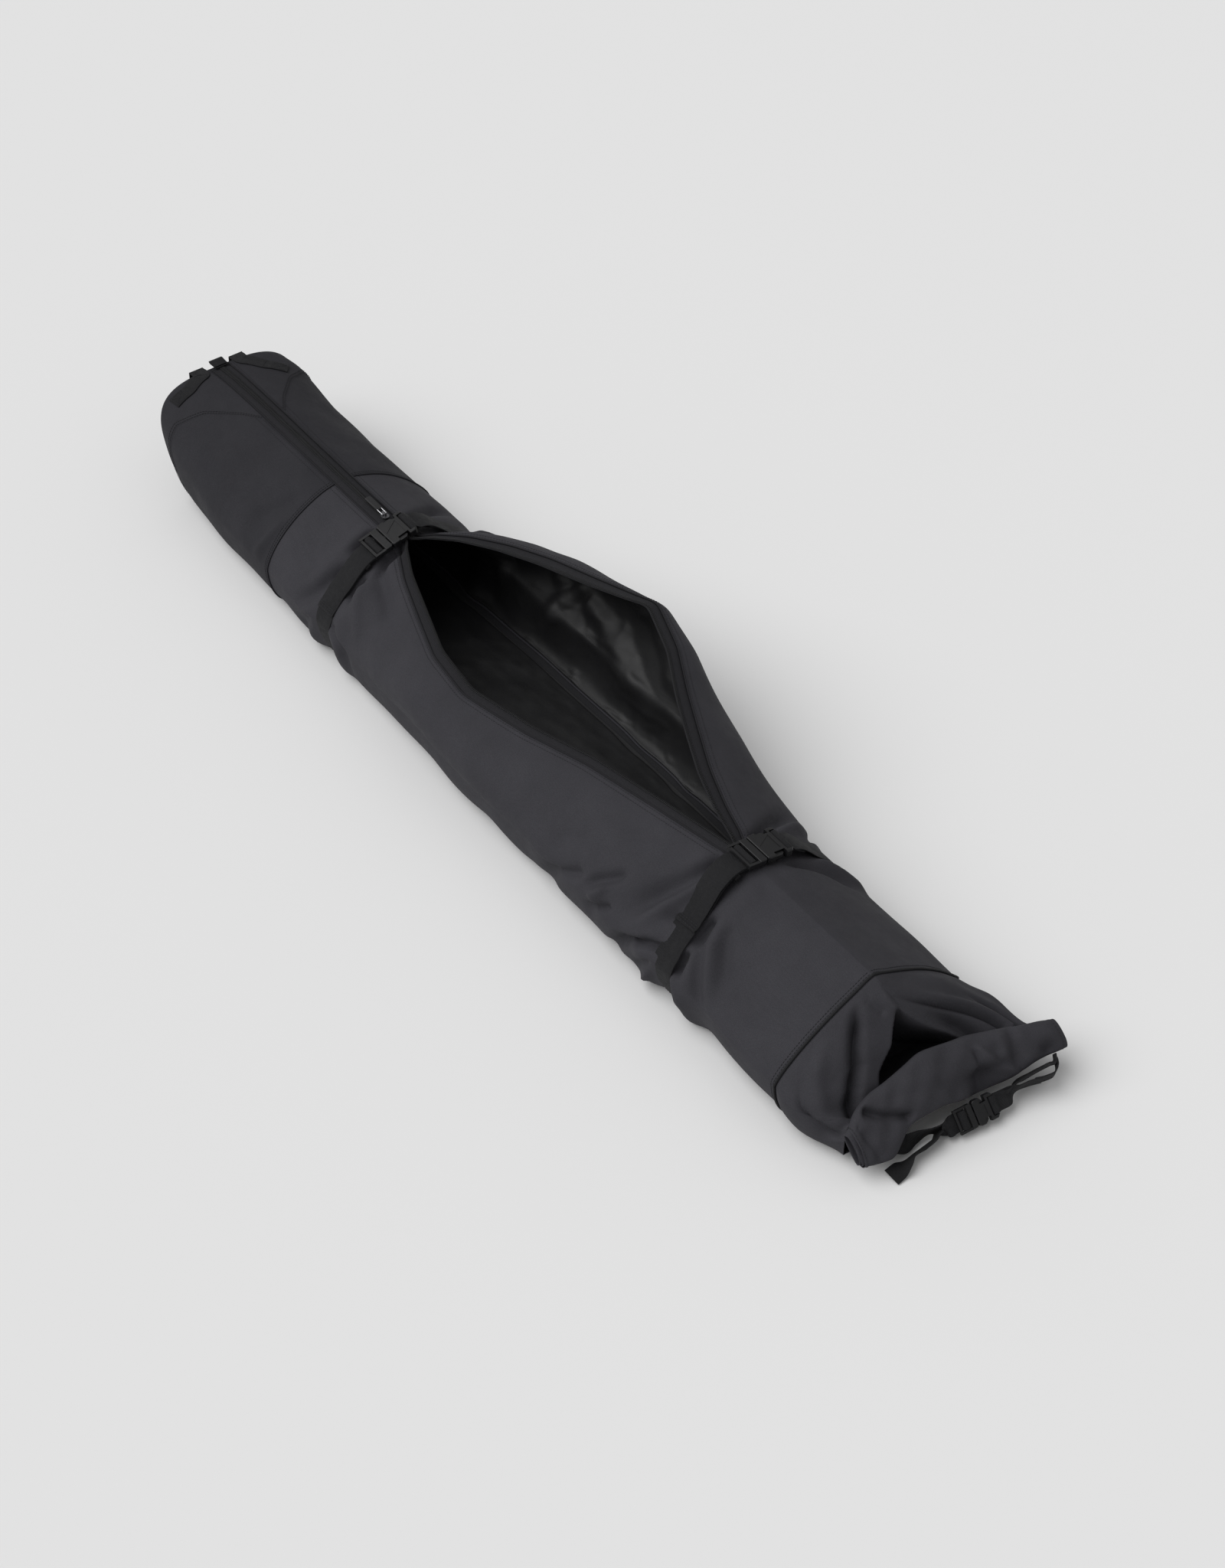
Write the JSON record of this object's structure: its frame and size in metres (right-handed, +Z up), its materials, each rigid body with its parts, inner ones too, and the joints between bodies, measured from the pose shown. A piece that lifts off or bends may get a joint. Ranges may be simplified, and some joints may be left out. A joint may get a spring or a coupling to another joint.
{
  "type": "ski bag",
  "caption": "Long padded soft bag for skis, top zip open, with two buckled compression straps, a haul handle and a roll-top end.",
  "frame": {"origin": "on the underside of the base panel, midway along the bag and on its long centre line", "axes": "+X along the bag to the rolled end, +Y to its right-hand side, +Z up"},
  "size_m": [1.7935, 0.3661, 0.2308],
  "materials": {
    "shell_fabric": "matt coated polyester",
    "base_fabric": "heavier coated polyester",
    "lining_fabric": "glossy coated nylon",
    "foam": "closed-cell foam",
    "board": "flexible board",
    "piping": "covered cord",
    "webbing": "ribbed webbing",
    "zip_tape": "woven tape",
    "zip_coil": "nylon coil",
    "slider_metal": "dark nickel",
    "pull_grip": "moulded grip",
    "buckle_plastic": "acetal, satin"
  },
  "bodies": {
    "bag": {"base_board": "board", "base_foam_pad": "foam", "base_panel": "base_fabric", "end_cap": "shell_fabric", "end_sleeve_left": "shell_fabric", "end_sleeve_right": "shell_fabric", "far_strap_buckle_female": "buckle_plastic", "far_strap_buckle_male": "buckle_plastic", "far_strap_keeper": "webbing", "far_strap_webbing_left": "webbing", "far_strap_webbing_right": "webbing", "handle_anchor_left": "webbing", "handle_anchor_right": "webbing", "lining_left": "lining_fabric", "lining_right": "lining_fabric", "main_panel_left": "shell_fabric", "main_panel_right": "shell_fabric", "near_strap_buckle_female": "buckle_plastic", "near_strap_buckle_male": "buckle_plastic", "near_strap_keeper": "webbing", "near_strap_webbing_left": "webbing", "near_strap_webbing_right": "webbing", "padding_left": "foam", "padding_right": "foam", "ridge_facing": "shell_fabric", "roll_collar": "shell_fabric", "seam_piping_far": "piping", "seam_piping_near": "piping", "zip_coil_left": "zip_coil", "zip_coil_right": "zip_coil", "zip_end_tab": "webbing", "zip_stop": "zip_coil", "zip_tape_left": "zip_tape", "zip_tape_right": "zip_tape"},
    "zip_slider_body": {"zip_slider": "slider_metal"},
    "zip_pull": {"zip_pull_ring": "slider_metal", "zip_pull_grip": "pull_grip"},
    "handle_loop": {"haul_handle": "webbing", "haul_handle_wrap": "webbing"},
    "rolled_end": {"rolled_top": "shell_fabric", "roll_inner_turns": "lining_fabric", "roll_batten": "board", "roll_strap_left": "webbing", "roll_strap_right": "webbing", "roll_buckle_female": "buckle_plastic", "roll_buckle_male": "buckle_plastic"},
    "far_strap_latch_a": {"far_strap_buckle_prong_a": "buckle_plastic"},
    "far_strap_latch_b": {"far_strap_buckle_prong_b": "buckle_plastic"},
    "near_strap_latch_a": {"near_strap_buckle_prong_a": "buckle_plastic"},
    "near_strap_latch_b": {"near_strap_buckle_prong_b": "buckle_plastic"},
    "roll_latch_a": {"roll_buckle_prong_a": "buckle_plastic"},
    "roll_latch_b": {"roll_buckle_prong_b": "buckle_plastic"}
  },
  "joints": [
    {"name": "zip_travel", "type": "slide", "parent": "bag", "child": "zip_slider_body", "axis": [1, 0, 0], "range_m": [-0.36, 0]},
    {"name": "zip_pull_flip", "type": "hinge", "parent": "zip_slider_body", "child": "zip_pull", "pos_m": [-0.393, 0, 0.1848], "axis": [0, 1, 0], "range_deg": [0, 140]},
    {"name": "handle_swing", "type": "hinge", "parent": "bag", "child": "handle_loop", "pos_m": [-0.882, 0, 0.172], "axis": [0, 1, 0], "range_deg": [0, 150]},
    {"name": "roll_tilt", "type": "hinge", "parent": "bag", "child": "rolled_end", "pos_m": [0.812, 0, 0.03], "axis": [0, -1, 0], "range_deg": [0, 25]},
    {"name": "far_strap_press_a", "type": "hinge", "parent": "bag", "child": "far_strap_latch_a", "pos_m": [-0.331, -0.025, 0.1745], "axis": [0, -0.2419, 0.9703], "range_deg": [0, 11], "stiffness_Nm_per_rad": 0.05},
    {"name": "far_strap_press_b", "type": "hinge", "parent": "bag", "child": "far_strap_latch_b", "pos_m": [-0.369, -0.025, 0.1745], "axis": [0, 0.2419, -0.9703], "range_deg": [0, 11], "stiffness_Nm_per_rad": 0.05},
    {"name": "near_strap_press_a", "type": "hinge", "parent": "bag", "child": "near_strap_latch_a", "pos_m": [0.494, 0.0125, 0.1796], "axis": [0, 0.1736, 0.9848], "range_deg": [0, 11], "stiffness_Nm_per_rad": 0.05},
    {"name": "near_strap_press_b", "type": "hinge", "parent": "bag", "child": "near_strap_latch_b", "pos_m": [0.456, 0.0125, 0.1796], "axis": [0, -0.1736, -0.9848], "range_deg": [0, 11], "stiffness_Nm_per_rad": 0.05},
    {"name": "roll_press_a", "type": "hinge", "parent": "rolled_end", "child": "roll_latch_a", "pos_m": [0.8881, 0.04759, 0.01284], "axis": [0.7029, -0.1065, 0.7032], "range_deg": [0, 11], "stiffness_Nm_per_rad": 0.05},
    {"name": "roll_press_b", "type": "hinge", "parent": "rolled_end", "child": "roll_latch_b", "pos_m": [0.8719, 0.04841, 0.02916], "axis": [-0.7029, 0.1065, -0.7032], "range_deg": [0, 11], "stiffness_Nm_per_rad": 0.05}
  ],
  "couplings": [
    {"joint": "far_strap_press_b", "follows": "far_strap_press_a", "ratio": 1},
    {"joint": "near_strap_press_b", "follows": "near_strap_press_a", "ratio": 1},
    {"joint": "roll_press_b", "follows": "roll_press_a", "ratio": 1}
  ]
}
